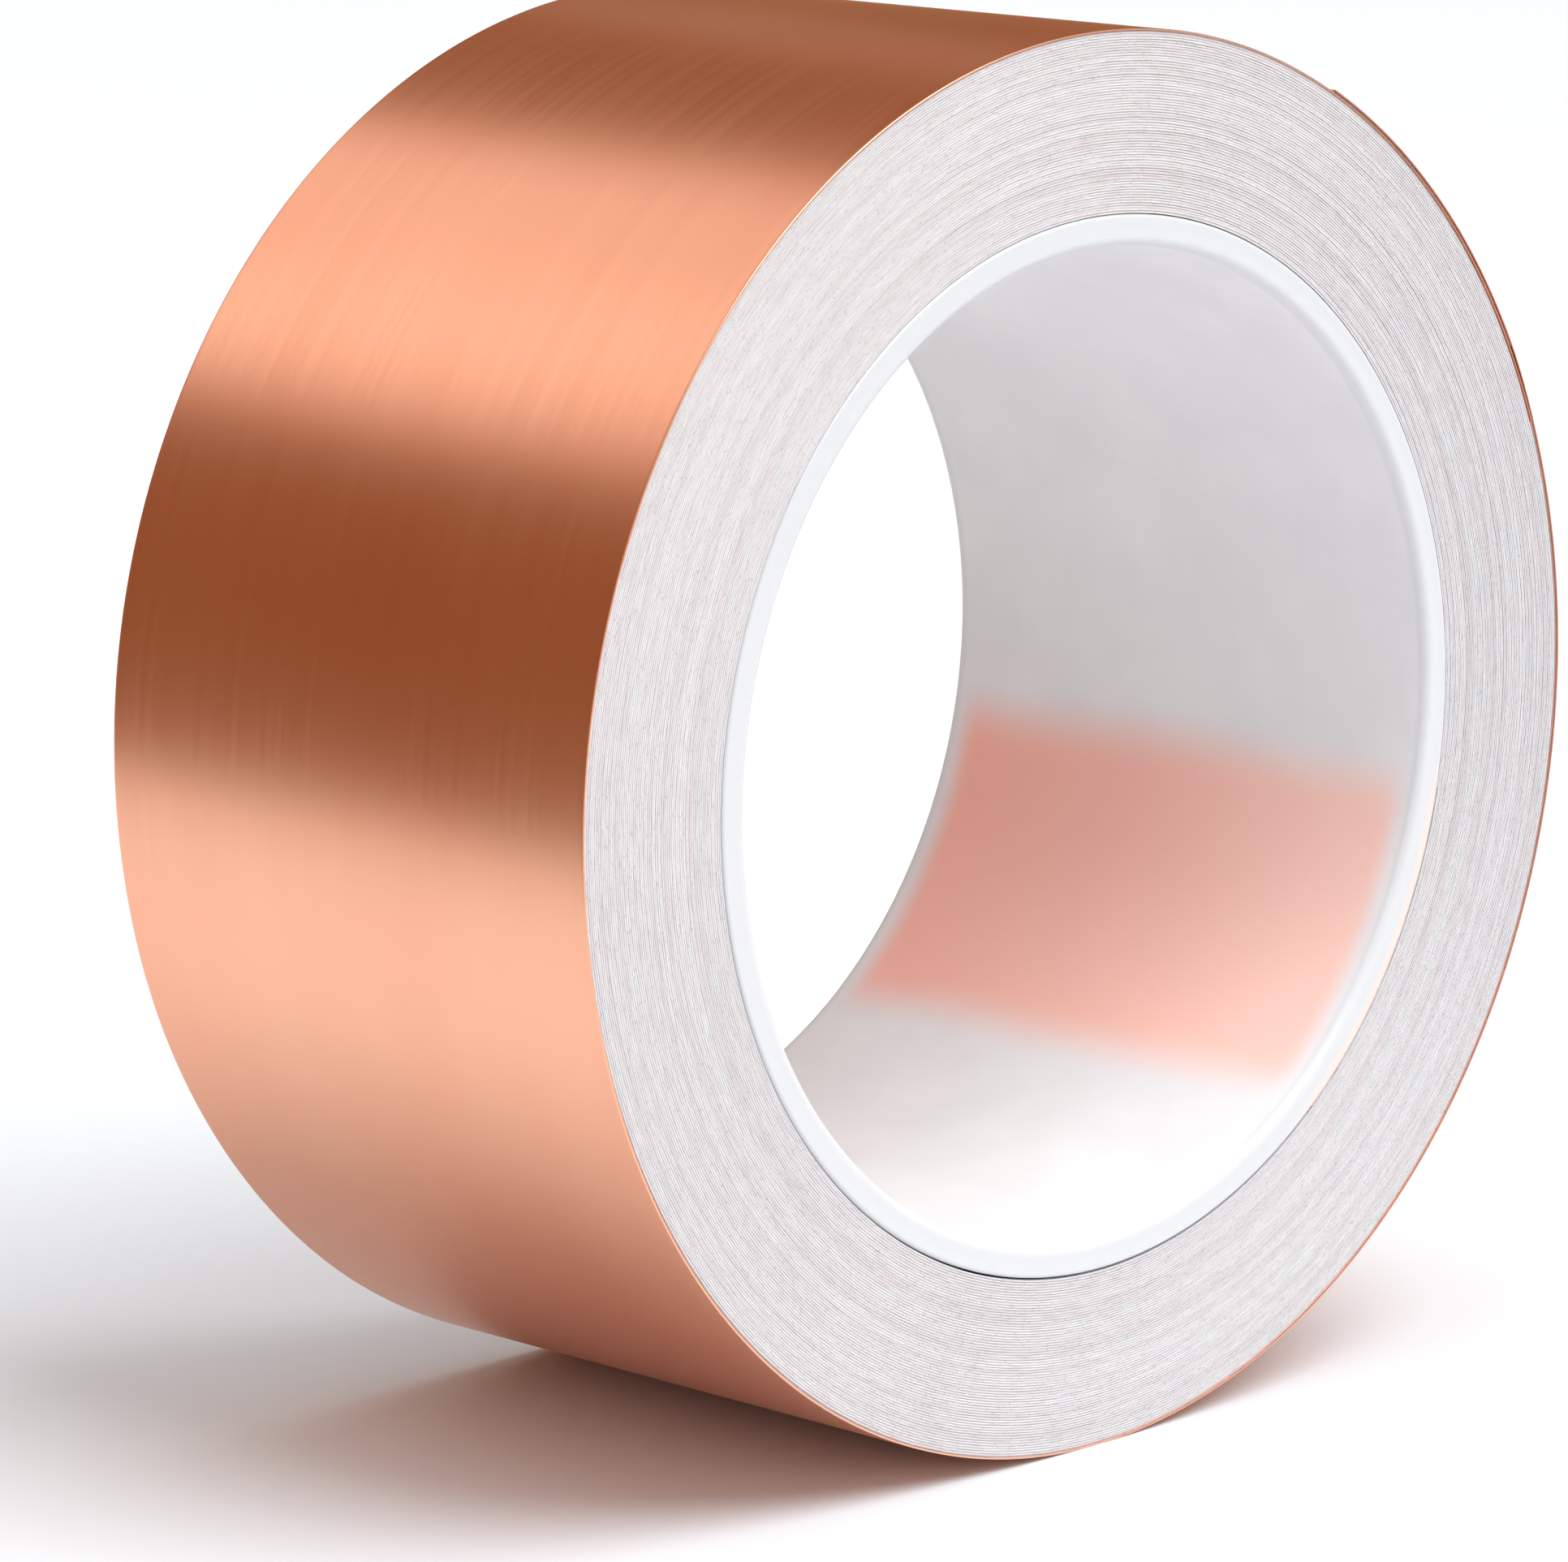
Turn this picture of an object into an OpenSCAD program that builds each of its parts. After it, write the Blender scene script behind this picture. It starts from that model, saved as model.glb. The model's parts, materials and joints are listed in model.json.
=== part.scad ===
// Roll of adhesive-backed copper foil tape on a plastic core.
// The roll's axis is Y, the origin is the centre of the bore and +Z is up, so the roll stands
// on its rim. Angles in the XZ plane count from +X towards +Z.

/* [Core] */
// Bore of the core
bore_d = 76.2; // [70:0.1:80]
// Wall of the core
core_wall = 2.4; // [1.5:0.1:4]
// Round on the core's inner edges
inner_round = 1; // [0.2:0.1:1.2]
// Round on the core's outer edges
outer_round = 0.3; // [0.1:0.1:0.5]

/* [Tape] */
// Width of the tape and of the core
tape_w = 50.8; // [5:0.1:60]
// Copper foil
foil_t = 0.05; // [0.03:0.01:0.08]
// Adhesive film on the back of the foil
adhesive_t = 0.03; // [0.02:0.01:0.05]
// Paper release liner under the adhesive
liner_t = 0.11; // [0.06:0.01:0.15]
// Air between one turn and the next
slack = 0.01; // [0.005:0.005:0.03]
// Whole turns on the roll
turns = 69; // [10:1:90]
// Depth of the narrow flat that the roll's own weight presses into its rim
rest_flat = 0.02; // [0.005:0.005:0.025]

/* [Start of the tape] */
// Where the tape begins on the core, in degrees
start_from = -52; // [-70:1:-30]
// Where its bare start ends and the liner begins, in degrees
start_to = -12; // [-20:1:0]

/* [Tail] */
// Where the tail leaves the roll, in degrees
tail_at = 30; // [10:1:50]
// Length of the tail
tail_len = 30; // [15:1:40]
// How much larger the tail's bend radius is than the roll's
tail_ease = 0.9; // [0.4:0.1:25]
// Gap under the liner's tail, and between it and the adhesive
tail_gap = 0.06; // [0.03:0.01:0.15]
// Slit between the wound tape and the tail, in degrees
tail_slit = 0.15; // [0.1:0.05:0.3]

/* [Hidden] */
$fn = 180;
bore_r = bore_d / 2;
core_r = bore_r + core_wall;
core_ease = 0.01;
first_r = core_r + core_ease;
foil_depth = liner_t + adhesive_t;
pitch = foil_depth + foil_t + slack;
half_turns = 2 * turns;
outer_from = half_turns - 2;
end_r = first_r + turns * pitch + foil_depth + foil_t;
hinge_r = end_r + 2 * tail_gap;
tail_r = hinge_r + tail_ease;
rim_bottom = pitch / 2 * (1 + sin(start_to)) - end_r;
tail_sweep = tail_len / tail_r * 180 / PI;

// A strip of the tape's width bent round the local Z axis, from +X onwards
module bent_strip(r, t, sweep) {
  rotate_extrude(angle = sweep) translate([r, -tape_w / 2]) square([t, tape_w]);
}

// Turns the local Z axis to lie along Y, and local +X to the angle a
module at_angle(a) {
  rotate([90, 0, 0]) rotate([0, 0, a]) children();
}

// Some half turns of one layer of the wound tape, as a true spiral. Their centres are two
// points, half a pitch apart, so each half turn runs smoothly into the next and the layer keeps
// its thickness.
module wound_layer(depth, t, from, to) {
  at_angle(start_to)
    for (i = [from : to - 1])
      translate([i % 2 * pitch / 2, 0, 0])
        rotate([0, 0, i % 2 * 180])
          bent_strip(first_r + i * pitch / 2 + depth, t, 180);
}

// What is left of the last turn, up to the tail
module last_stretch(depth, t) {
  at_angle(start_to)
    bent_strip(first_r + turns * pitch + depth, t, tail_at - start_to - tail_slit);
}

// One layer of the bare start, which is glued straight to the core
module start_layer(depth, t) {
  at_angle(start_from) bent_strip(first_r + depth, t, start_to - start_from);
}

// One layer of the tail. Its depth counts inwards from the copper's outer face, where the
// hinge line lies.
module tail_layer(depth, t) {
  at_angle(tail_at) translate([hinge_r - tail_r, 0, 0])
    bent_strip(tail_r - depth - t, t, tail_sweep);
}

// The corner that a round takes off a square edge
module edge_round(x, side_x, r) {
  for (side_y = [-1, 1])
    translate([x, side_y * (tape_w / 2 - r)])
      difference() {
        translate([side_x > 0 ? 0 : -r, side_y > 0 ? 0 : -r]) square(r);
        circle(r, $fn = 48);
      }
}

// The space that a level floor fills, up to the flat on the bottom of the rim
module floor_space() {
  translate([-end_r, -tape_w, rim_bottom + rest_flat - end_r])
    cube([2 * end_r, 2 * tape_w, end_r]);
}

// A plain tube with rounded edges
module core() {
  color("whitesmoke") rotate([90, 0, 0]) rotate_extrude()
    difference() {
      translate([bore_r, -tape_w / 2]) square([core_wall, tape_w]);
      edge_round(bore_r + inner_round, -1, inner_round);
      edge_round(core_r - outer_round, 1, outer_round);
    }
}

module foil_start() {
  color("chocolate") start_layer(adhesive_t, foil_t);
}

module adhesive_start() {
  color("lightgray") start_layer(0, adhesive_t);
}

module foil_windings() {
  color("chocolate") wound_layer(foil_depth, foil_t, 0, outer_from);
}

// The copper that shows: the last whole turn and what is left up to the tail
module foil_outer_turn() {
  color("peru") difference() {
    union() {
      wound_layer(foil_depth, foil_t, outer_from, half_turns);
      last_stretch(foil_depth, foil_t);
    }
    floor_space();
  }
}

module adhesive_windings() {
  color("lightgray") {
    wound_layer(liner_t, adhesive_t, 0, half_turns);
    last_stretch(liner_t, adhesive_t);
  }
}

module liner_windings() {
  color("mistyrose") {
    wound_layer(0, liner_t, 0, half_turns);
    last_stretch(0, liner_t);
  }
}

module foil_tail() {
  color("peru") tail_layer(0, foil_t);
}

module adhesive_tail() {
  color("lightgray") tail_layer(foil_t, adhesive_t);
}

module liner_tail() {
  color("mistyrose") tail_layer(foil_t + adhesive_t + tail_gap, liner_t);
}

core();
foil_start();
adhesive_start();
foil_windings();
foil_outer_turn();
adhesive_windings();
liner_windings();
foil_tail();
adhesive_tail();
liner_tail();
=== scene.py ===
import json
import math

import bpy
import numpy as np
from mathutils import Matrix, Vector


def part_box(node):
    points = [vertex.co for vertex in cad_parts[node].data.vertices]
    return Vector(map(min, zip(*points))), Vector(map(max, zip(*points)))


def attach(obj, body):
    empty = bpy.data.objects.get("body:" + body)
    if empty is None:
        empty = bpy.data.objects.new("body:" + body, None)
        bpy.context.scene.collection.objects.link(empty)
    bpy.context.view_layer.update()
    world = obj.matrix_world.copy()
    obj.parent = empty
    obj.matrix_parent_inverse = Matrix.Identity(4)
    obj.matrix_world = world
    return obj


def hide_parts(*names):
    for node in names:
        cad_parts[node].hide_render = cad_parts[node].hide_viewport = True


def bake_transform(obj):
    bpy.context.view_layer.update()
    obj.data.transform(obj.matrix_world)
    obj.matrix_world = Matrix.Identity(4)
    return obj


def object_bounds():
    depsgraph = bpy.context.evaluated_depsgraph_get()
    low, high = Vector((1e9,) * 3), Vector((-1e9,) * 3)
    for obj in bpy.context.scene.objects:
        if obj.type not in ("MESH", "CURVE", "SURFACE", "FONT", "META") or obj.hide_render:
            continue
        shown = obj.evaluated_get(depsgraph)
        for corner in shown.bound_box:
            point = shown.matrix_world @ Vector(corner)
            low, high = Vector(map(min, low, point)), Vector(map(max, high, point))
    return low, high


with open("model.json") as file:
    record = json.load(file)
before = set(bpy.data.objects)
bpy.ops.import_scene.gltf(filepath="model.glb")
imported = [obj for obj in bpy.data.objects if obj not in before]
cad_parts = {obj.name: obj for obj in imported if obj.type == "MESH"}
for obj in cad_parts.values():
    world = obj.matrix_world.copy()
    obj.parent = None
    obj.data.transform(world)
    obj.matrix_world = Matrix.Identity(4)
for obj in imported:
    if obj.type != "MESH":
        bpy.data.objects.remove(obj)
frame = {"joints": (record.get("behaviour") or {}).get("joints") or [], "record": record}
cadBox = [list(corner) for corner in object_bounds()]
mm = 0.001
fullTurn = 2 * math.pi

# sizes that every piece shares, read from the CAD frame
joints = {joint["name"]: joint for joint in frame["joints"]}
mounts = {mount["name"]: mount for mount in frame["record"]["mounts"]}
boreR = mounts["core_bore"]["dims"]["r_mm"] * mm
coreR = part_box("core")[1].x
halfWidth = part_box("core")[1].y
width = 2 * halfWidth
floorZ = cadBox[0][2]
hinge = np.array(joints["tail_lift"]["pos_m"])
hingeR = math.hypot(hinge[0], hinge[2])
hingeAngle = math.atan2(hinge[2], hinge[0])


def linear(hexText):
    # each sRGB channel c becomes c / 12.92 when it is small, and ((c + 0.055) / 1.055) ^ 2.4 above that
    parts = [int(hexText[i:i + 2], 16) / 255 for i in (1, 3, 5)]
    return tuple(c / 12.92 if c <= 0.04045 else ((c + 0.055) / 1.055) ** 2.4 for c in parts) + (1.0,)


def smooth(low, high, x):
    # 0 below low and 1 above high, with the cubic 3t^2 - 2t^3 between them
    t = np.clip((np.asarray(x, float) - low) / (high - low), 0, 1)
    return t * t * (3 - 2 * t)


def wander(x, knots, seed):
    # smooth noise from -1 to 1: a seeded random value at each 1/knots of x, joined by the cubic step
    x = np.asarray(x, float) * knots
    x = x - x.min()
    values = np.random.default_rng(seed).uniform(-1, 1, int(x.max()) + 3)
    cell = np.floor(x).astype(int)
    return values[cell] + (values[cell + 1] - values[cell]) * smooth(0, 1, x - cell)


def addPiece(name, points, faces, uv, material, body, sharp=35):
    # a closed mesh from whole arrays; its faces are turned round where the signed volume is negative
    points = np.asarray(points, float).reshape(-1, 3)
    a, b, c, d = (points[faces[:, i]] for i in range(4))
    volume = np.einsum("ij,ij->i", a, np.cross(b, c) + np.cross(c, d)).sum()
    if volume < 0:
        faces = faces[:, ::-1]
        uv = uv[:, ::-1]
    mesh = bpy.data.meshes.new(name)
    mesh.from_pydata(points.tolist(), [], faces.tolist())
    layer = mesh.uv_layers.new(name="surface")
    layer.data.foreach_set("uv", np.ascontiguousarray(uv, np.float32).ravel())
    mesh.materials.append(material)
    mesh.shade_smooth()
    mesh.set_sharp_from_angle(angle=math.radians(sharp))
    mesh.update()
    piece = bpy.data.objects.new(name, mesh)
    bpy.context.scene.collection.objects.link(piece)
    if body:
        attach(piece, body)
    print(f"{name}: {len(faces)} faces")
    return piece


def tube(points, along, girth, closed=False):
    # quads between neighbouring rings of points, n rings of m points, with uv = (along, girth); a ring's
    # last point joins its first, and so do the last and first rings where closed is true
    n, m = points.shape[:2]
    i, j = np.meshgrid(np.arange(n if closed else n - 1), np.arange(m), indexing="ij")
    i, j = i.ravel(), j.ravel()
    i2, j2 = (i + 1) % n, (j + 1) % m
    faces = np.stack([i * m + j, i2 * m + j, i2 * m + j2, i * m + j2], 1)
    u = np.stack([along[i], along[i + 1], along[i + 1], along[i]], 1)
    v = np.stack([girth[j], girth[j], girth[j + 1], girth[j + 1]], 1)
    return faces, np.stack([u, v], -1)


def endCaps(points, along, across):
    # closes both ends of a strip: column c of its lower face meets column c of its upper face
    n, m = points.shape[:2]
    c = np.arange(len(across) - 1)
    low = np.stack([c, c + 1, m - 2 - c, m - 1 - c], 1)
    faces = np.concatenate([low, low[:, ::-1] + (n - 1) * m])
    u = np.repeat([along[0], along[-1]], len(c))[:, None] + np.zeros(4)
    v = np.stack([across[c], across[c + 1], across[c + 1], across[c]], 1)
    return faces, np.stack([u, np.concatenate([v, v[:, ::-1]])], -1)


def startMaterial(name):
    material = bpy.data.materials.new(name)
    material.use_nodes = True
    material.node_tree.nodes.clear()
    return material, material.node_tree


def addNode(tree, kind, inputs, **settings):
    # one node with its settings, its fixed values and its links; a node given as a value links its first
    # output that is in use
    node = tree.nodes.new("ShaderNode" + kind)
    for key, value in settings.items():
        setattr(node, key, value)
    for key, value in inputs.items():
        named = [socket for socket in node.inputs if socket.enabled and socket.name == key]
        socket = named[0] if named else node.inputs[key]
        if isinstance(value, bpy.types.Node):
            value = next(output for output in value.outputs if output.enabled)
        if isinstance(value, bpy.types.NodeSocket):
            tree.links.new(value, socket)
        else:
            socket.default_value = value
    return node


def stretchedNoise(tree, alongMm, acrossMm, detail, shift):
    # noise on the tape's own surface, whose features are alongMm by acrossMm
    uv = addNode(tree, "UVMap", {}, uv_map="surface")
    scale = (1 / (alongMm * mm), 1 / (acrossMm * mm), 1)
    place = addNode(tree, "Mapping", {"Vector": uv, "Location": (shift, shift, 0), "Scale": scale})
    return addNode(tree, "TexNoise", {"Vector": place, "Scale": 1, "Detail": detail, "Roughness": 0.55},
                   noise_dimensions="2D")


def variedColour(tree, noise, reach, colours):
    # from the first colour where the noise is at the low end of its reach to the second at the high end
    share = addNode(tree, "MapRange", {"Value": noise, "From Min": reach[0], "From Max": reach[1]})
    return addNode(tree, "Mix", {"Factor": share, "A": linear(colours[0]), "B": linear(colours[1])},
                   data_type="RGBA")


def finishMaterial(tree, inputs, height, bumpMm, bumpStrength):
    # the bump, the shader and the output, which every material ends with
    bump = addNode(tree, "Bump", {"Height": height, "Strength": bumpStrength, "Distance": bumpMm * mm})
    shader = addNode(tree, "BsdfPrincipled", {**inputs, "Normal": bump})
    addNode(tree, "OutputMaterial", {"Surface": shader})


# a noise seldom leaves these limits; the narrow ones give more contrast
wideReach = (0.3, 0.7)
narrowReach = (0.35, 0.65)

copperLook = {
    "colours": ("#F6B292", "#F8B898"),
    "roughness": (0.285, 0.315),
    "markLengthMm": 70,   # roll marks run with the strip
    "markWidthMm": 0.8,   # real ones are finer; these are as fine as a render shows
    "cloudMm": 16,
    "markDepthMm": 0.0004,
    "bumpStrength": 0.4,
}


def rolledCopper():
    # soft copper foil, cold rolled: an even satin sheen that draws bands of light along the roll, with
    # barely visible marks along the strip
    look = copperLook
    material, tree = startMaterial("satin rolled copper")
    marks = stretchedNoise(tree, look["markLengthMm"], look["markWidthMm"], 2, 0.0)
    clouds = stretchedNoise(tree, look["cloudMm"] * 2, look["cloudMm"], 2, 7.3)
    colour = variedColour(tree, clouds, wideReach, look["colours"])
    sheen = addNode(tree, "MapRange", {"Value": marks, "From Min": wideReach[0], "From Max": wideReach[1],
                                       "To Min": look["roughness"][0], "To Max": look["roughness"][1]})
    finishMaterial(tree, {"Base Color": colour, "Metallic": 1.0, "Roughness": sheen}, marks,
                   look["markDepthMm"], look["bumpStrength"])
    return material


linerLook = {
    "fibres": ("#CFD0D2", "#E2E3E4"),
    "fibreReach": (0.3, 0.65),
    "bands": ("#F8F2F3", "#FFFFFF"),   # painted shade: rings of turns, slightly pinker and paler at random, for the light and shade of turns standing proud or sunk
    "dust": "#A59290",
    "dustReach": (0.60, 0.74),
    "dustShare": 0.4,
    "shadeRingMm": 1.3,        # width of a ring of turns whose shade is painted
    "streakMm": 2.2,      # how far a fibrous streak runs along the slit edge
    "streakDepthMm": 0.12,
    "speckMm": 0.5,
    "roughness": 0.85,
    "bumpMm": 0.008,
    "bumpStrength": 0.3,
}


def linerPaper():
    # the wound liner's edges, bleached paper slit with a blade: matt, with short fibres and copper dust, and
    # rings of painted shade
    look = linerLook
    material, tree = startMaterial("slit release paper")
    streaks = stretchedNoise(tree, look["streakMm"], look["streakDepthMm"], 3, 0.0)
    paper = variedColour(tree, streaks, look["fibreReach"], look["fibres"])
    place = addNode(tree, "TexCoord", {}).outputs["Object"]
    flat = addNode(tree, "VectorMath", {0: place, 1: (1, 0, 1)}, operation="MULTIPLY")
    radius = addNode(tree, "VectorMath", {0: flat}, operation="LENGTH")
    # painted shade: rings of turns lighter and darker at random, by radius
    groups = addNode(tree, "TexNoise", {"W": radius.outputs["Value"], "Scale": 1 / (look["shadeRingMm"] * mm),
                                        "Detail": 2}, noise_dimensions="1D")
    tone = variedColour(tree, groups, narrowReach, look["bands"])
    toned = addNode(tree, "Mix", {"Factor": 1.0, "A": paper, "B": tone}, data_type="RGBA",
                    blend_type="MULTIPLY")
    specks = stretchedNoise(tree, look["speckMm"], look["streakDepthMm"] * 2, 1, 3.1)
    dust = addNode(tree, "MapRange", {"Value": specks, "From Min": look["dustReach"][0],
                                      "From Max": look["dustReach"][1], "To Max": look["dustShare"]},
                   interpolation_type="SMOOTHSTEP")
    dusty = addNode(tree, "Mix", {"Factor": dust, "A": toned, "B": linear(look["dust"])}, data_type="RGBA")
    finishMaterial(tree, {"Base Color": dusty, "Roughness": look["roughness"]}, streaks, look["bumpMm"],
                   look["bumpStrength"])
    return material


coatLook = {
    "colours": ("#E3E3E4", "#ECECEC"),
    "roughness": (0.42, 0.55),
    "mottleMm": 1.6,      # the sheet's fibres show as a faint mottle through the coating
    "fibreMm": 0.25,
    "bumpMm": 0.003,
    "bumpStrength": 0.25,
}


def coatedPaper():
    # the liner's face, which the adhesive peels from: white paper under a thin silicone coat, with a soft
    # sheen and a faint mottle
    look = coatLook
    material, tree = startMaterial("silicone coated paper")
    mottle = stretchedNoise(tree, look["mottleMm"], look["mottleMm"], 3, 0.0)
    colour = variedColour(tree, mottle, narrowReach, look["colours"])
    sheen = addNode(tree, "MapRange", {"Value": mottle, "From Min": narrowReach[0],
                                       "From Max": narrowReach[1], "To Min": look["roughness"][0],
                                       "To Max": look["roughness"][1]})
    fibres = stretchedNoise(tree, look["fibreMm"], look["fibreMm"], 2, 5.2)
    finishMaterial(tree, {"Base Color": colour, "Roughness": sheen}, fibres, look["bumpMm"],
                   look["bumpStrength"])
    return material


edgeLook = {
    "colours": ("#D8BDB3", "#E6D9D5"),
    "metallic": 0.25,
    "roughness": (0.5, 0.7),
    "smearMm": 1.5,
    "smearDepthMm": 0.1,
    "bumpMm": 0.004,
    "bumpStrength": 0.3,
}


def slitCopper():
    # the cut edges of the wound foil: copper dulled and paled by adhesive smear and paper dust
    look = edgeLook
    material, tree = startMaterial("dusty slit copper")
    smear = stretchedNoise(tree, look["smearMm"], look["smearDepthMm"], 2, 4.9)
    colour = variedColour(tree, smear, narrowReach, look["colours"])
    dullness = addNode(tree, "MapRange", {"Value": smear, "From Min": narrowReach[0],
                                          "From Max": narrowReach[1], "To Min": look["roughness"][0],
                                          "To Max": look["roughness"][1]})
    finishMaterial(tree, {"Base Color": colour, "Metallic": look["metallic"], "Roughness": dullness}, smear,
                   look["bumpMm"], look["bumpStrength"])
    return material


filmLook = {
    "colours": ("#D8CCC8", "#E6DEDB"),
    "roughness": (0.35, 0.55),
    "ior": 1.47,
    "cloudMm": 4,
    "cloudDepthMm": 0.1,
    "bumpMm": 0.004,
    "bumpStrength": 0.3,
}


def acrylicFilm():
    # clear acrylic adhesive: slightly warm and glossy where it bulges, cloudy where it picked up paper dust
    look = filmLook
    material, tree = startMaterial("acrylic adhesive film")
    clouds = stretchedNoise(tree, look["cloudMm"], look["cloudDepthMm"], 2, 1.7)
    colour = variedColour(tree, clouds, wideReach, look["colours"])
    gloss = addNode(tree, "MapRange", {"Value": clouds, "From Min": wideReach[0], "From Max": wideReach[1],
                                       "To Min": look["roughness"][0], "To Max": look["roughness"][1]})
    finishMaterial(tree, {"Base Color": colour, "Roughness": gloss, "IOR": look["ior"]}, clouds,
                   look["bumpMm"], look["bumpStrength"])
    return material


coreLook = {
    "plastic": ("#E6E6E8", "#ECECED"),
    "cloudMm": 7,
    "shadedEnd": "#D8D7D8",              # painted shade: the end faces, which the lights reach fully, are painted darker than the bore's wall
    "shadedEndMm": (1.2, 0.2),           # from here to here, in from each end
    "paintedGlow": ("#FFB9AB", "#FFD0C3"),   # painted light: the copper's glow through the milky wall, painted into the colour, darker at the back and lighter at the front
    "paintedRimGlow": "#FFD8CB",             # painted light: the same glow through the thin edge, next to the tape
    "rimMm": (1.0, 0.3),              # from here to here, in from the outside
    "edgeSoftDeg": 4.5,
    "waverDeg": 0.5,
    "waverMm": 16,
    "fadeMm": (3.5, 0.5),             # the painted glow fades from here to here, in from each end
    "gloss": (0.36, 0.42),
    "ior": 1.51,
    "milkiness": 0.2,
    "scatter": (1.0, 0.95, 0.9),
    "scatterMm": 1.2,
    "grainMm": 0.6,
    "bumpMm": 0.003,
    "bumpStrength": 0.2,
}


def milkyPlastic():
    # natural polyethylene, moulded: milky, and the copper glued to its outside shows through with soft
    # edges; this glow is painted into the base colour as painted light, and the end faces carry painted
    # shade
    look = coreLook
    low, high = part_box("foil_start")
    corners = [math.atan2(high.z, high.x), math.atan2(low.z, low.x)]
    middle, half = sum(corners) / 2, abs(corners[0] - corners[1]) / 2
    soft, waver = math.radians(look["edgeSoftDeg"]), math.radians(look["waverDeg"])
    material, tree = startMaterial("milky polyethylene, painted glow and shade")
    place = addNode(tree, "TexCoord", {}).outputs["Object"]
    axes = addNode(tree, "SeparateXYZ", {"Vector": place})
    drift = addNode(tree, "TexNoise", {"Vector": place, "Scale": 1 / (look["waverMm"] * mm), "Detail": 1})
    angle = addNode(tree, "Math", {0: axes.outputs["Z"], 1: axes.outputs["X"]}, operation="ARCTAN2")
    wavering = addNode(tree, "MapRange", {"Value": drift, "From Min": wideReach[0], "From Max": wideReach[1],
                                          "To Min": -waver - middle, "To Max": waver - middle})
    turned = addNode(tree, "Math", {0: angle, 1: wavering}, operation="ADD")
    away = addNode(tree, "Math", {0: turned}, operation="ABSOLUTE")
    within = addNode(tree, "MapRange", {"Value": away, "From Min": half - soft, "From Max": half + soft,
                                        "To Min": 1.0, "To Max": 0.0}, interpolation_type="SMOOTHSTEP")
    sideways = addNode(tree, "Math", {0: axes.outputs["Y"]}, operation="ABSOLUTE")
    inside = addNode(tree, "MapRange", {"Value": sideways, "From Min": halfWidth - look["fadeMm"][0] * mm,
                                        "From Max": halfWidth - look["fadeMm"][1] * mm,
                                        "To Min": 1.0, "To Max": 0.0}, interpolation_type="SMOOTHSTEP")
    glowing = addNode(tree, "Math", {0: within, 1: inside}, operation="MULTIPLY")
    # painted light: the copper's glow through the wall, darker at the back and lighter at the front
    forward = addNode(tree, "MapRange", {"Value": axes.outputs["Y"], "From Min": halfWidth,
                                         "From Max": -halfWidth})
    glow = addNode(tree, "Mix", {"Factor": forward, "A": linear(look["paintedGlow"][0]),
                                 "B": linear(look["paintedGlow"][1])}, data_type="RGBA")
    fine = addNode(tree, "TexNoise", {"Vector": place, "Scale": 1 / (look["cloudMm"] * mm), "Detail": 3})
    milk = variedColour(tree, fine, wideReach, look["plastic"])
    # painted shade: the end faces are painted darker than the bore's wall, which lies in shade
    nearEnd = addNode(tree, "MapRange", {"Value": sideways, "From Min": halfWidth - look["shadedEndMm"][0] * mm,
                                         "From Max": halfWidth - look["shadedEndMm"][1] * mm})
    body = addNode(tree, "Mix", {"Factor": nearEnd, "A": milk, "B": linear(look["shadedEnd"])},
                   data_type="RGBA")
    wall = addNode(tree, "Mix", {"Factor": glowing, "A": body, "B": glow}, data_type="RGBA")
    flat = addNode(tree, "VectorMath", {0: place, 1: (1, 0, 1)}, operation="MULTIPLY")
    radius = addNode(tree, "VectorMath", {0: flat}, operation="LENGTH")
    # painted light: the same glow through the thin edge next to the tape
    nearTape = addNode(tree, "MapRange", {"Value": radius.outputs["Value"],
                                          "From Min": coreR - look["rimMm"][0] * mm,
                                          "From Max": coreR - look["rimMm"][1] * mm})
    edgeGlow = addNode(tree, "Math", {0: within, 1: nearTape}, operation="MULTIPLY")
    whole = addNode(tree, "Mix", {"Factor": edgeGlow, "A": wall, "B": linear(look["paintedRimGlow"])},
                    data_type="RGBA")
    grain = addNode(tree, "TexNoise", {"Vector": place, "Scale": 1 / (look["grainMm"] * mm), "Detail": 2})
    gloss = addNode(tree, "MapRange", {"Value": fine, "From Min": wideReach[0], "From Max": wideReach[1],
                                       "To Min": look["gloss"][0], "To Max": look["gloss"][1]})
    finishMaterial(tree, {"Base Color": whole, "Roughness": gloss, "IOR": look["ior"],
                          "Subsurface Weight": look["milkiness"], "Subsurface Radius": look["scatter"],
                          "Subsurface Scale": look["scatterMm"] * mm},
                   grain, look["bumpMm"], look["bumpStrength"])
    return material


copper = rolledCopper()
copperEdge = slitCopper()
paper = linerPaper()
paperFace = coatedPaper()
adhesive = acrylicFilm()
plastic = milkyPlastic()
print("materials ready")


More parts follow.
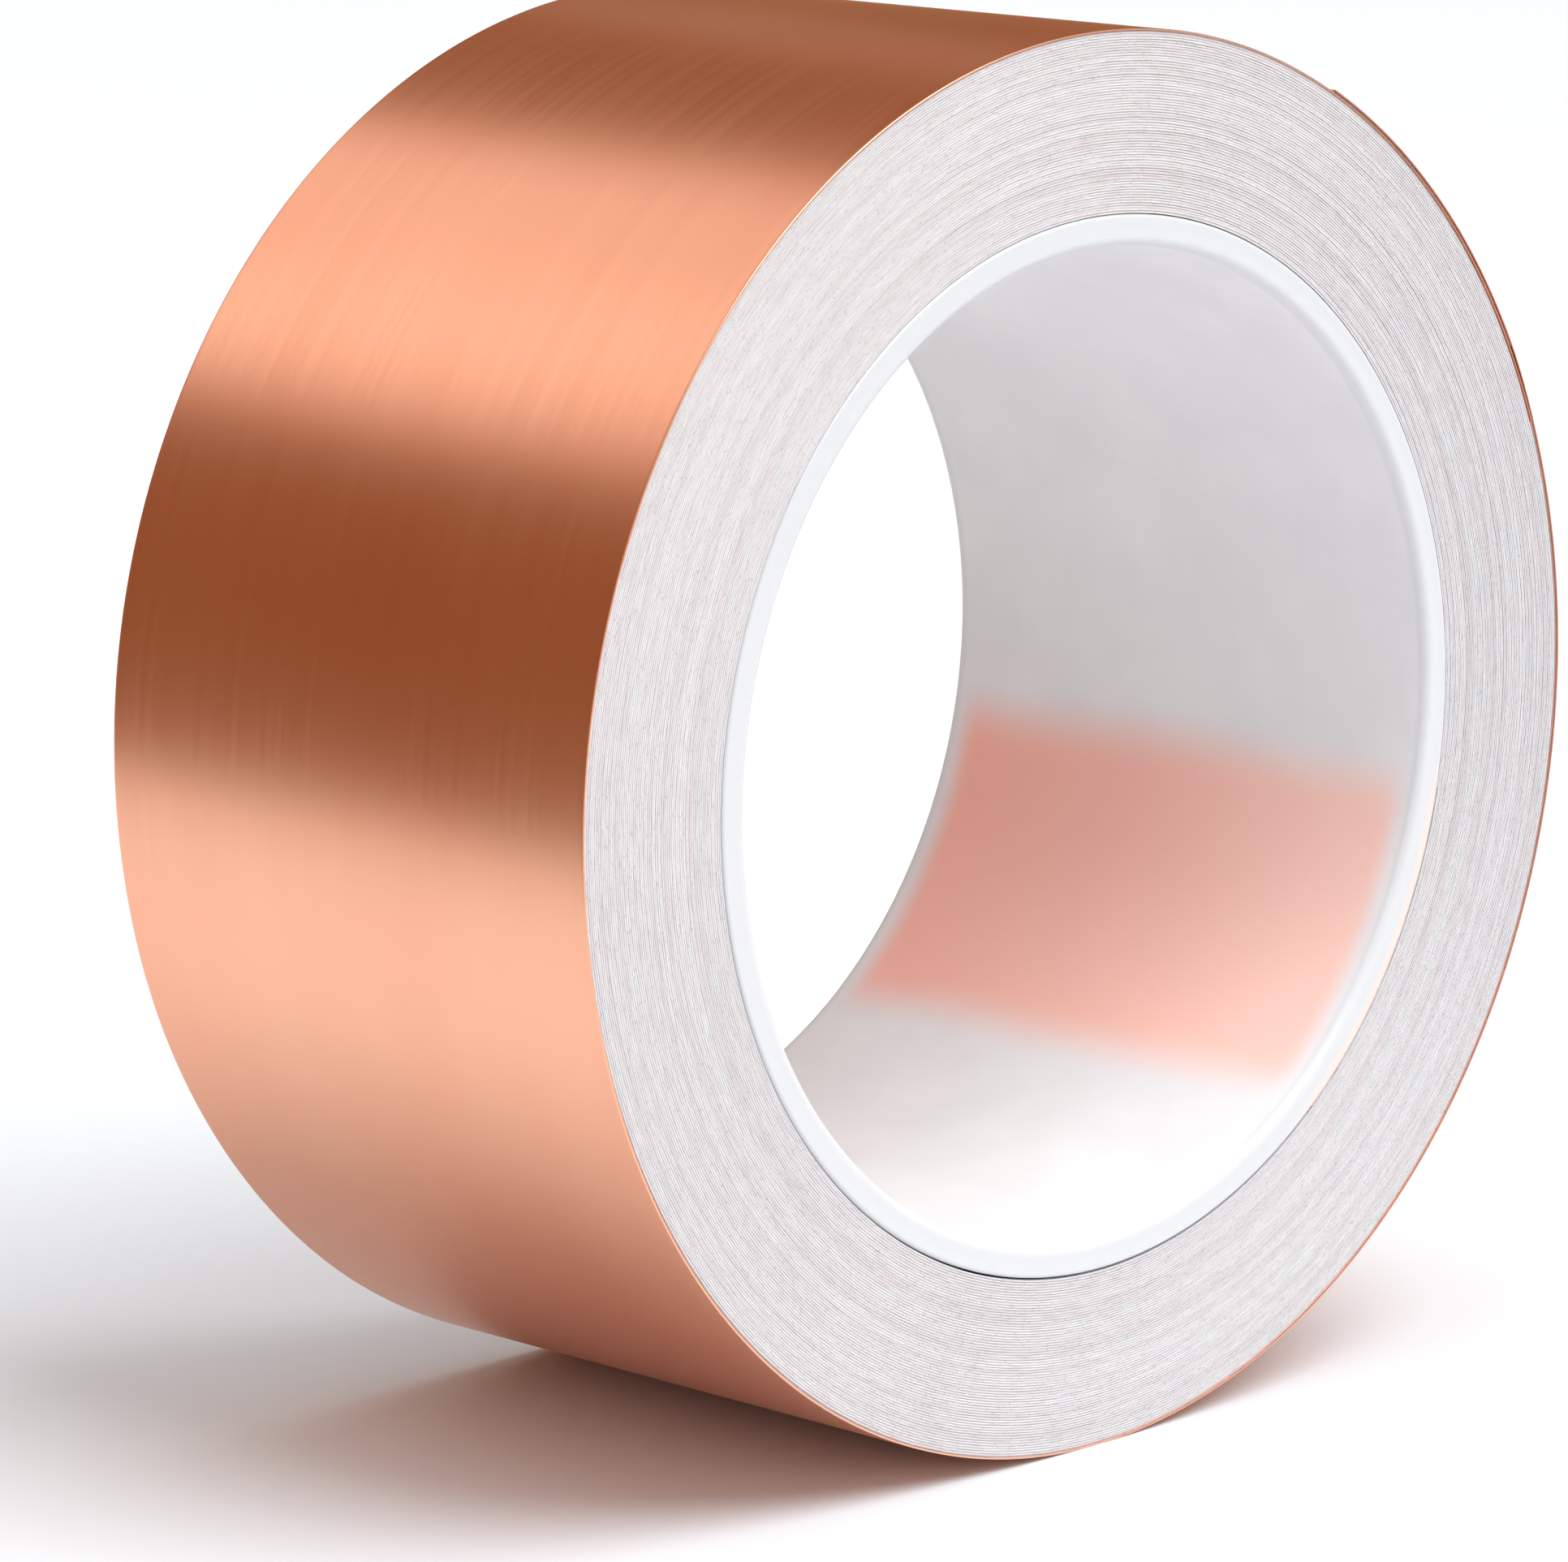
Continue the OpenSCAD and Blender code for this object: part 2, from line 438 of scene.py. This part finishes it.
tape = {
    "foilMm": 0.05,
    "adhesiveMm": 0.03,
    "linerMm": 0.11,
    "slackMm": 0.01,
    "turns": 69,
    "stepsPerTurn": 300,
    "startDeg": -12,       # the liner begins here
    "bareDeg": 40,         # bare tape before it, glued to the core
    "climbDeg": 2,         # the tape climbs from the core on to the liner's end over this angle
    "easeMm": 0.01,        # between the core and the first turn
    "edgeInsetMm": 0.10,   # the slit edges stand this far inside the core's ends
    "wanderMm": 0.03,      # how far the winding strays sideways
    "wanderParts": ((0.75, 2.3, 11), (0.25, 9, 12)),   # share, bends for each turn, seed
    "fibreMm": 0.02,       # roughness of the slit edge
    "foilSinkMm": 0.05,    # the foil's edge sits deeper than the paper's
    "filmSinkMm": 0.02,
    "lipTurns": 1.5,       # the outer turns' edges hide behind the outer foil's rolled lip
    "lipStartTurns": 0.4,
    "lipInsetMm": 0.12,
    "seamMm": 1.5,         # the wound part ends this far before the line where the tail bends
    "outerTurns": 1.02,    # how much of the foil's end is the outer turn, a piece of its own
}
linerT = tape["linerMm"] * mm
filmT = tape["adhesiveMm"] * mm
foilT = tape["foilMm"] * mm
pitch = linerT + filmT + foilT + tape["slackMm"] * mm
firstR = coreR + tape["easeMm"] * mm
startAngle = math.radians(tape["startDeg"])
barePhi = -math.radians(tape["bareDeg"])
endPhi = tape["turns"] * fullTurn + hingeAngle - startAngle - tape["seamMm"] * mm / hingeR
outerFrom = endPhi - fullTurn * tape["outerTurns"]


def linerInnerR(phi):
    # a spiral: the radius grows by one pitch for each turn since the liner's start
    return firstR + pitch * np.maximum(phi, 0) / fullTurn


def stations(fromPhi, toPhi, perTurn):
    # evenly spaced turning angles
    return np.linspace(fromPhi, toPhi, int((toPhi - fromPhi) / fullTurn * perTurn) + 1)


def stripAlong(phi):
    # length along the strip, from the integral of the radius over the angle
    radius = linerInnerR(phi)
    return np.concatenate([[0], np.cumsum(np.diff(phi) * (radius[1:] + radius[:-1]) / 2)])


def edgePlace(phi, sink, seed):
    # where a layer's front and back edges lie: its inset, a slow sideways wander and fine fibres
    turn = phi / fullTurn
    parts = [share * wander(turn, bends, draw) for share, bends, draw in tape["wanderParts"]]
    stray = tape["wanderMm"] * sum(parts)
    lipFrom = -tape["lipTurns"]
    lip = tape["lipInsetMm"] * smooth(lipFrom, lipFrom + tape["lipStartTurns"], turn - endPhi / fullTurn)
    rough = np.random.default_rng(seed).uniform(0, 1, (2, len(phi))) * tape["fibreMm"]
    inset = tape["edgeInsetMm"] + sink + lip
    front = -halfWidth + (inset + rough[0] + stray) * mm
    back = halfWidth - (inset + rough[1] - stray) * mm
    return front, back


def linerUnder(phi):
    # the bare start lies on the core, then climbs on to the liner
    return linerT * smooth(0, math.radians(tape["climbDeg"]), phi)


def windLayer(name, material, fromPhi, toPhi, innerDepth, thickness, sinkMm, seed):
    # one layer wound as a thin closed strip: at each station a rectangle from its inner to its outer
    # face and from its front to its back edge, at x = r cos a, z = r sin a
    phi = stations(fromPhi, toPhi, tape["stepsPerTurn"])
    front, back = edgePlace(phi, sinkMm, seed)
    inner = linerInnerR(phi) + innerDepth(phi)
    outer = inner + thickness
    angle = startAngle + phi
    radius = np.stack([inner, inner, outer, outer], 1)
    y = np.stack([front, back, back, front], 1)
    points = np.stack([radius * np.cos(angle)[:, None], y, radius * np.sin(angle)[:, None]], -1)
    along = stripAlong(phi)
    faces, uv = tube(points, along, np.cumsum([0, width, thickness, width, thickness]))
    caps, capUv = endCaps(points, along, np.array([0, width]))
    return addPiece(name, points, np.concatenate([faces, caps]), np.concatenate([uv, capUv]), material,
                    "roll")


linerPiece = windLayer("liner_wound", paper, 0, endPhi, lambda phi: 0 * phi, linerT, 0.0, 21)
filmPiece = windLayer("adhesive_wound", adhesive, barePhi, endPhi, linerUnder, filmT, tape["filmSinkMm"], 22)
foilPiece = windLayer("foil_wound", copperEdge, barePhi, outerFrom, lambda phi: linerUnder(phi) + filmT,
                      foilT, tape["foilSinkMm"], 23)
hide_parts("liner_windings")
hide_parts("adhesive_windings", "adhesive_start")
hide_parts("foil_windings", "foil_start")
print("windings ready")


outerTurn = {
    "stepsPerTurn": 400,
    "lipMm": 0.12,         # the slitter rolled both edges of the foil inwards
    "lipDropMm": 0.08,
    "liftMm": 0.10,        # the last turn stands off the roll here, low on its left
    "liftDeg": (186, 205, 232, 252),
    "liftFadeTurns": (0.02, 0.1),   # none of it at the tape's end, where the tail starts
    "floorSine": -0.9,     # the floor can only matter below this sine of the angle
    "wavesMm": 0.002,      # faint hollows from handling
    "wavesPerTurn": 16,
    "riseMm": 9,           # it rises on to the tail's hinge line over this length
    "edgeStepsMm": (0, 0.01, 0.03, 0.05, 0.08, 0.12, 0.3, 1.0, 2.5, 6, 12, 18),
}
edgeSteps = np.array(outerTurn["edgeStepsMm"]) * mm
columnsAcross = np.concatenate([edgeSteps, [halfWidth], width - edgeSteps[::-1]])


def lipDrop(across):
    # a quarter round at both edges: the foil drops by d (1 - sqrt(1 - t^2)), where t falls from 1 at the
    # edge to 0 at the end of the lip
    fromEdge = np.minimum(across, width - across)
    t = np.clip(1 - fromEdge / (outerTurn["lipMm"] * mm), 0, 1)
    return outerTurn["lipDropMm"] * mm * (1 - np.sqrt(1 - t * t))


def outerFaceR(phi):
    # the foil's outer face: the spiral, plus the loose stretch and the rise on to the tail, held above
    # the floor, where r = floorZ / sin a
    angle = startAngle + phi
    a, b, c, d = outerTurn["liftDeg"]
    degrees = np.degrees(angle) % 360
    loose = outerTurn["liftMm"] * mm * smooth(a, b, degrees) * (1 - smooth(c, d, degrees))
    faceOfSpiral = linerT + filmT + foilT
    beforeEnd = smooth(*outerTurn["liftFadeTurns"], (endPhi - phi) / fullTurn)
    r = linerInnerR(phi) + faceOfSpiral + loose * beforeEnd
    rise = hingeR - linerInnerR(endPhi) - faceOfSpiral
    r = r + rise * (1 - smooth(0, outerTurn["riseMm"] * mm, (endPhi - phi) * hingeR))
    nearFloor = np.sin(angle) < outerTurn["floorSine"]
    return np.where(nearFloor, np.minimum(r, floorZ / np.where(nearFloor, np.sin(angle), -1)), r)


def sheetStrip(name, material, body, centre, angle, outerR, along, across, y, thickness, drop):
    # a sheet bent round the Y axis: at each station its outer face runs across, less the lip's drop, and
    # its inner face runs back, one thickness deeper; centre is each station's own middle of the bend
    outer = outerR[:, None] - drop
    ring = np.concatenate([outer - thickness, outer[:, ::-1]], 1)
    x = centre[:, :1] + ring * np.cos(angle)[:, None]
    z = centre[:, 1:] + ring * np.sin(angle)[:, None]
    points = np.stack([x, np.broadcast_to(np.concatenate([y, y[::-1]]), x.shape), z], -1)
    girth = np.concatenate([across, width + thickness + across, [2 * (width + thickness)]])
    faces, uv = tube(points, along, girth)
    caps, capUv = endCaps(points, along, across)
    return addPiece(name, points, np.concatenate([faces, caps]), np.concatenate([uv, capUv]), material, body)


phi = stations(outerFrom, endPhi, outerTurn["stepsPerTurn"])
waves = np.outer(wander(phi / fullTurn, outerTurn["wavesPerTurn"], 31),
                 np.sin(columnsAcross / width * math.pi))
outerPiece = sheetStrip("foil_outer_turn_shown", copper, "roll", np.zeros((len(phi), 2)), startAngle + phi,
                        outerFaceR(phi), stripAlong(phi), columnsAcross, columnsAcross - halfWidth, foilT,
                        lipDrop(columnsAcross) + (1 + waves) * outerTurn["wavesMm"] * mm)
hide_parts("foil_outer_turn")
print("outer turn ready")


tail = {
    "lengthMm": 30,
    "tighterMm": 0.2,      # its bend's radius is this much less than the roll's
    "gapMm": 0.06,         # between the adhesive and the liner's end
    "partedMm": 0.5,       # the gap is whole this far past the hinge line
    "insetMm": 0.3,        # the layers under the copper stay behind its lips
    "bendMm": (-1.2, 4),   # the bend is spread from here to here, along the tape
    "steps": 61,
    "seamSteps": 7,
    "columnsUnder": 9,     # across the layers under the copper
}


def tailPiece(name, material, node, depth, thickness, lipped):
    # a strip from the seam to the tape's end: before the hinge line it follows the roll, and after it an
    # arc of the tail's own bend, whose centre lies on the hinge's radius
    seam, length = -tape["seamMm"], tail["lengthMm"]
    beforeHinge = np.linspace(seam, 0, tail["seamSteps"])[:-1]
    s = np.concatenate([beforeHinge, np.linspace(0, length, tail["steps"])]) * mm
    bendR = hingeR - tail["tighterMm"] * mm
    towards = np.array([math.cos(hingeAngle), math.sin(hingeAngle)])
    onRoll = s < 0
    angle = hingeAngle + np.where(onRoll, s / hingeR, s / bendR)
    centre = np.where(onRoll, 0, hingeR - bendR)[:, None] * towards
    outerR = np.where(onRoll, hingeR, bendR) - depth(s)
    inset = 0.0 if lipped else tail["insetMm"] * mm
    across = columnsAcross if lipped else np.linspace(0, width, tail["columnsUnder"])
    y = (across - halfWidth) * (1 - inset / halfWidth)
    drop = lipDrop(across) if lipped else 0 * across
    piece = sheetStrip(name, material, None, centre, angle, outerR, s - s[0], across, y, thickness, drop)
    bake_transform(piece)
    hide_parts(node)
    return piece


def linerTailDepth(s):
    # the liner's end parts from the adhesive between the seam and just past the hinge line
    parted = smooth(-tape["seamMm"] * mm, tail["partedMm"] * mm, s)
    return foilT + filmT + tail["gapMm"] * mm * parted


foilTail = tailPiece("foil_tail_shown", copper, "foil_tail", lambda s: 0 * s, foilT, True)
filmTail = tailPiece("adhesive_tail_shown", adhesive, "adhesive_tail", lambda s: foilT + 0 * s, filmT,
                     False)
linerTail = tailPiece("liner_tail_shown", paperFace, "liner_tail", linerTailDepth, linerT, False)
print("tail ready")


core = {
    "steps": 288,
    "innerRoundMm": 0.7,
    "outerRoundMm": 0.3,
    "arcSteps": 9,
    "faceSteps": 6,
    "wallSteps": 8,
    "outsideSteps": 6,
    "sharpDeg": 60,
    "hollowMm": 0.03,   # the end faces sank a little between their edges as the plastic cooled
}


def coreProfile():
    # half of the section, from the middle of the bore to the middle of the outside: wall, inner round,
    # slightly hollow end face, outer round
    ri, ro = core["innerRoundMm"] * mm, core["outerRoundMm"] * mm
    t = np.linspace(0, math.pi / 2, core["arcSteps"])
    innerArc = np.stack([boreR + ri * (1 - np.cos(t)), halfWidth - ri * (1 - np.sin(t))], 1)
    outerArc = np.stack([coreR - ro * (1 - np.sin(t)), halfWidth - ro * (1 - np.cos(t))], 1)
    r = np.linspace(boreR + ri, coreR - ro, core["faceSteps"])[1:-1]
    hollow = np.sin((r - boreR - ri) / (coreR - boreR - ri - ro) * math.pi) * core["hollowMm"] * mm
    face = np.stack([r, halfWidth - hollow], 1)
    wallY = np.linspace(0, halfWidth - ri, core["wallSteps"])[:-1]
    wall = np.stack([np.full_like(wallY, boreR), wallY], 1)
    back = np.linspace(halfWidth - ro, 0, core["outsideSteps"])[1:]
    outside = np.stack([np.full_like(back, coreR), back], 1)
    return np.concatenate([wall, innerArc, face, outerArc, outside])


def latheRing(profile, steps):
    # the half section and its mirror image make a closed loop, turned round the Y axis
    loop = np.concatenate([profile, profile[::-1][1:-1] * [1, -1]])
    a = np.linspace(0, fullTurn, steps, endpoint=False)
    points = np.stack([np.outer(np.cos(a), loop[:, 0]), np.broadcast_to(loop[:, 1], (steps, len(loop))),
                       np.outer(np.sin(a), loop[:, 0])], -1)
    sides = np.linalg.norm(np.diff(np.vstack([loop, loop[:1]]), axis=0), axis=1)
    girth = np.concatenate([[0], np.cumsum(sides)])
    faces, uv = tube(points, np.linspace(0, fullTurn * boreR, steps + 1), girth, closed=True)
    return points, faces, uv


points, faces, uv = latheRing(coreProfile(), core["steps"])
corePiece = addPiece("core_shown", points, faces, uv, plastic, "roll", core["sharpDeg"])
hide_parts("core")
print("core ready")


studio = {
    "tableM": ((-0.225, -3.0), (3.0, 3.0)),   # the table's near left and far right corners
    "tableColours": ("#E9F1F8", "#ECF3F9"),
    "tableRoughness": 0.5,
    "tableCloudScale": 9,
    "tableBumpMm": 0.01,
    "tableBumpStrength": 0.1,
    "front": (0.62, 0.62, 0.62),      # pale room in front of the roll
    "behind": (0.27, 0.119, 0.045),   # dim, warm room behind it
    "overhead": (1.35, 1.35, 1.35),   # bright ceiling
    "frontToBehind": (-0.25, 0.35),
    "wallToCeiling": (0.80, 0.95),
    "key": {"azimuth": 16, "elevation": 57, "strength": 2.6, "angle": 44, "colour": (0.98, 0.99, 1.0)},
    # azimuth, elevation, distance, width, height and radiance; each is a soft panel
    "panels": {
        "back panel": (-153, 40, 1.1, 0.40, 0.38, 1.25),
        "back fill": (-180, 45, 1.1, 0.34, 0.36, 0.95),
        "side panel": (139, 27, 1.1, 0.12, 0.30, 0.15),
        "left panel": (-98, 48, 1.2, 0.9, 0.9, 0.2),
    },
    "panelColour": (0.98, 0.99, 1.0),
}
view = {
    "azimuth": -45.4,
    "elevation": 11.1,
    "distanceM": 0.5994,
    "lensMm": 177.0,
    "sensorMm": 36,
    "nearestM": 0.01,
    "rightMm": -5.94,      # where the view's centre lies, to the right of the bore's centre
    "upMm": -5.79,         # and above it
}


def direction(azimuth, elevation):
    # a unit vector: azimuth 0 is towards -Y and turns towards +X, elevation is above level
    a, e = math.radians(azimuth), math.radians(elevation)
    return np.array([math.sin(a) * math.cos(e), -math.cos(a) * math.cos(e), math.sin(e)])


def turnTowards(thing, back):
    # the thing's own +Z points along back, and its +X stays level
    right = np.cross([0, 0, 1], back)
    right = right / np.linalg.norm(right)
    up = np.cross(back, right)
    thing.rotation_euler = Matrix(np.stack([right, up, back], 1).tolist()).to_euler()
    return right, up


def addTable():
    # a large flat sheet at the height of the roll's lowest point
    (x1, y1), (x2, y2) = studio["tableM"]
    mesh = bpy.data.meshes.new("table top")
    corners = [(x1, y1, floorZ), (x2, y1, floorZ), (x2, y2, floorZ), (x1, y2, floorZ)]
    mesh.from_pydata(corners, [], [(0, 1, 2, 3)])
    material, tree = startMaterial("matt white table")
    place = addNode(tree, "TexCoord", {}).outputs["Object"]
    clouds = addNode(tree, "TexNoise", {"Vector": place, "Scale": studio["tableCloudScale"], "Detail": 2})
    colour = addNode(tree, "Mix", {"Factor": clouds, "A": linear(studio["tableColours"][0]),
                                   "B": linear(studio["tableColours"][1])}, data_type="RGBA")
    finishMaterial(tree, {"Base Color": colour, "Roughness": studio["tableRoughness"]}, clouds,
                   studio["tableBumpMm"], studio["tableBumpStrength"])
    mesh.materials.append(material)
    table = bpy.data.objects.new("table top", mesh)
    bpy.context.scene.collection.objects.link(table)


def addWorld():
    # pale in front of the roll, dim and warm behind it and bright overhead, with soft changes between
    world = bpy.data.worlds.new("studio")
    world.use_nodes = True
    tree = world.node_tree
    tree.nodes.clear()
    axes = addNode(tree, "SeparateXYZ", {"Vector": addNode(tree, "TexCoord", {}).outputs["Generated"]})
    low, high = studio["frontToBehind"]
    behind = addNode(tree, "MapRange", {"Value": axes.outputs["Y"], "From Min": low, "From Max": high},
                     interpolation_type="SMOOTHSTEP")
    walls = addNode(tree, "Mix", {"Factor": behind, "A": studio["front"] + (1,),
                                  "B": studio["behind"] + (1,)}, data_type="RGBA")
    low, high = studio["wallToCeiling"]
    above = addNode(tree, "MapRange", {"Value": axes.outputs["Z"], "From Min": low, "From Max": high},
                    interpolation_type="SMOOTHSTEP")
    room = addNode(tree, "Mix", {"Factor": above, "A": walls, "B": studio["overhead"] + (1,)},
                   data_type="RGBA")
    shown = addNode(tree, "Background", {"Color": room, "Strength": 1.0})
    addNode(tree, "OutputWorld", {"Surface": shown})
    bpy.context.scene.world = world


def addLights():
    key = bpy.data.lights.new("key light", "SUN")
    key.energy = studio["key"]["strength"]
    key.angle = math.radians(studio["key"]["angle"])
    key.color = studio["key"]["colour"]
    keyObject = bpy.data.objects.new("key light", key)
    turnTowards(keyObject, direction(studio["key"]["azimuth"], studio["key"]["elevation"]))
    bpy.context.scene.collection.objects.link(keyObject)
    for name, (azimuth, elevation, distance, wide, high, radiance) in studio["panels"].items():
        panel = bpy.data.lights.new(name, "AREA")
        panel.shape = "RECTANGLE"
        panel.size = wide
        panel.size_y = high
        # an area light's radiance is its power over pi times its area
        panel.energy = radiance * math.pi * wide * high
        panel.color = studio["panelColour"]
        panelObject = bpy.data.objects.new(name, panel)
        back = direction(azimuth, elevation)
        panelObject.location = back * distance
        turnTowards(panelObject, back)
        bpy.context.scene.collection.objects.link(panelObject)


def addCamera():
    lens = bpy.data.cameras.new("camera")
    lens.lens = view["lensMm"]
    lens.sensor_width = view["sensorMm"]
    lens.clip_start = view["nearestM"]
    camera = bpy.data.objects.new("camera", lens)
    back = direction(view["azimuth"], view["elevation"])
    right, up = turnTowards(camera, back)
    camera.location = back * view["distanceM"] + (right * view["rightMm"] + up * view["upMm"]) * mm
    bpy.context.scene.collection.objects.link(camera)
    bpy.context.scene.camera = camera


addTable()
addWorld()
addLights()
addCamera()
bpy.context.scene.view_settings.view_transform = "Standard"
print("studio ready")
